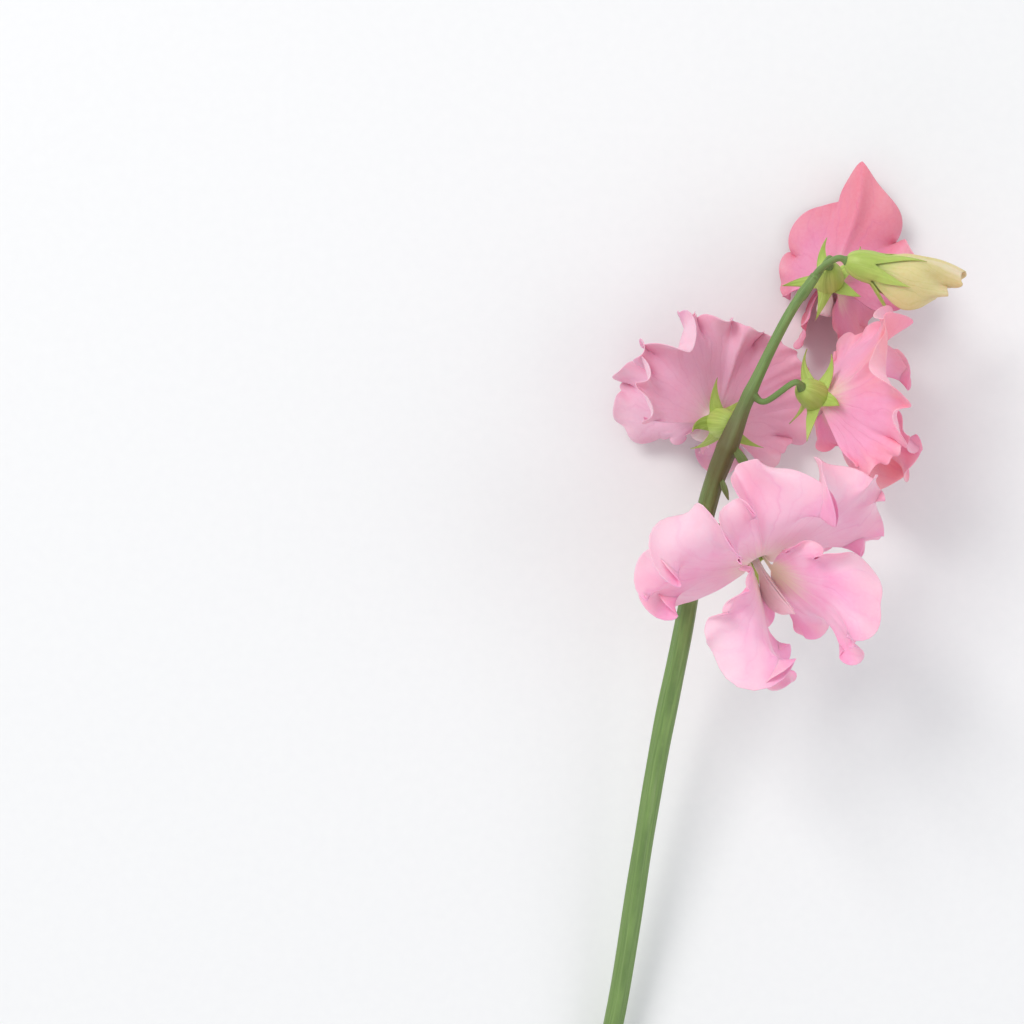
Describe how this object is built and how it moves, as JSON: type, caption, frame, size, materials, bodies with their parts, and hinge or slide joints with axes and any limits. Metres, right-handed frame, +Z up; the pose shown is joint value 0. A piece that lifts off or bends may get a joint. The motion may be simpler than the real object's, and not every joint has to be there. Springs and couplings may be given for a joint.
{
  "type": "sweet pea flower",
  "caption": "Cut sweet pea stem lying on its side, with ruffled pink blossoms and a cream-green bud at its tip.",
  "frame": {"origin": "centre of the lying stem's box, on the table it lies on", "axes": "+Y along the stalk, from its cut end to its tip; +Z up from the table; +X to the right of the stalk"},
  "size_m": [0.0886, 0.2534, 0.0566],
  "materials": {
    "stem_green": "satin, fresh green stalk with fine lengthwise ridges",
    "calyx_green": "satin, light yellow-green",
    "petal_pink": "matt, thin and translucent",
    "keel_cream": "matt, thin and translucent",
    "bud_cream": "matt, cream to green"
  },
  "bodies": {
    "root": {"stem": "stem_green", "flower_1_pedicel": "stem_green", "flower_1_calyx": "calyx_green", "flower_1_standard": "petal_pink", "flower_1_wing_left": "petal_pink", "flower_1_wing_right": "petal_pink", "flower_1_keel": "keel_cream", "flower_1_stamens": "keel_cream", "flower_2_pedicel": "stem_green", "flower_2_calyx": "calyx_green", "flower_2_standard": "petal_pink", "flower_2_wing_left": "petal_pink", "flower_2_wing_right": "petal_pink", "flower_2_keel": "keel_cream", "flower_2_stamens": "keel_cream", "flower_3_pedicel": "stem_green", "flower_3_calyx": "calyx_green", "flower_3_standard": "petal_pink", "flower_3_wing_left": "petal_pink", "flower_3_wing_right": "petal_pink", "flower_3_keel": "keel_cream", "flower_3_stamens": "keel_cream", "flower_4_pedicel": "stem_green", "flower_4_calyx": "calyx_green", "flower_4_standard": "petal_pink", "flower_4_wing_left": "petal_pink", "flower_4_wing_right": "petal_pink", "flower_4_keel": "keel_cream", "flower_4_stamens": "keel_cream", "bud_pedicel": "stem_green", "bud_calyx": "calyx_green", "bud_standard": "bud_cream", "bud_wings": "bud_cream"}
  },
  "joints": []
}
